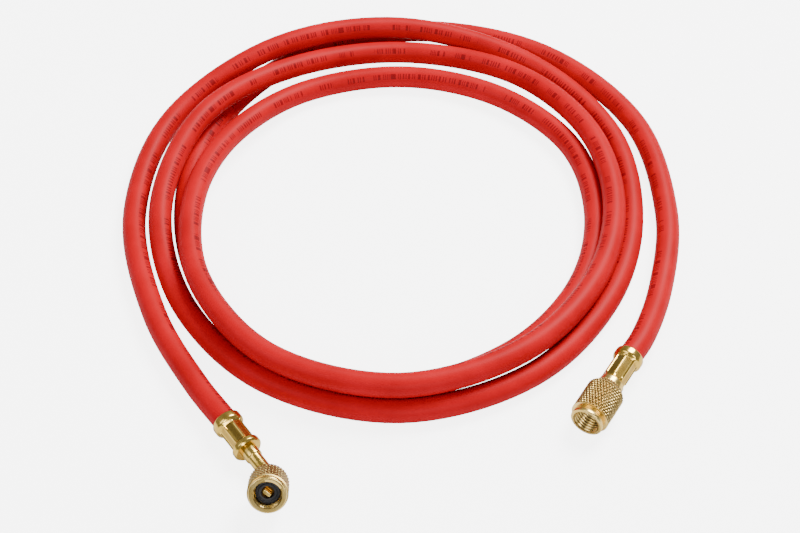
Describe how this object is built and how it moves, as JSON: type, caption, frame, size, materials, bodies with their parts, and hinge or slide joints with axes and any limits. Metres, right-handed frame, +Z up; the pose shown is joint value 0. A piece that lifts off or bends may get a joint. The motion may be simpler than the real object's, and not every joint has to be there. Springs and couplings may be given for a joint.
{
  "type": "refrigerant charging hose",
  "caption": "Red rubber refrigerant charging hose in a loose coil, with crimped brass ferrules and swivelling knurled flare nuts, one end straight and one end bent.",
  "frame": {"origin": "centre of the bounding box at floor level, as the coiled hose lies on a level floor", "axes": "+Z up; +Y from the side of the coil where the two end fittings lie to the far side; +X from the bent end fitting to the straight one"},
  "size_m": [0.2388, 0.2868, 0.0218],
  "materials": {
    "red_rubber": "semi-matt",
    "brass": "satin",
    "black_rubber": "matt"
  },
  "bodies": {
    "hose_body": {"hose": "red_rubber", "bent_end_ferrule": "brass", "bent_end_stem": "brass", "bent_end_gasket": "black_rubber", "bent_end_depressor": "brass", "straight_end_ferrule": "brass", "straight_end_stem": "brass"},
    "bent_end_nut_body": {"bent_end_nut": "brass"},
    "straight_end_nut_body": {"straight_end_nut": "brass"}
  },
  "joints": [
    {"name": "bent_end_nut_spin", "type": "hinge", "parent": "hose_body", "child": "bent_end_nut_body", "pos_m": [-0.04866, -0.13308, 0.01173], "axis": [0.0303, -0.84, 0.5417], "continuous": true},
    {"name": "straight_end_nut_spin", "type": "hinge", "parent": "hose_body", "child": "straight_end_nut_body", "pos_m": [0.07679, -0.0903, 0.0077], "axis": [-0.515, -0.8572, 0], "continuous": true}
  ]
}
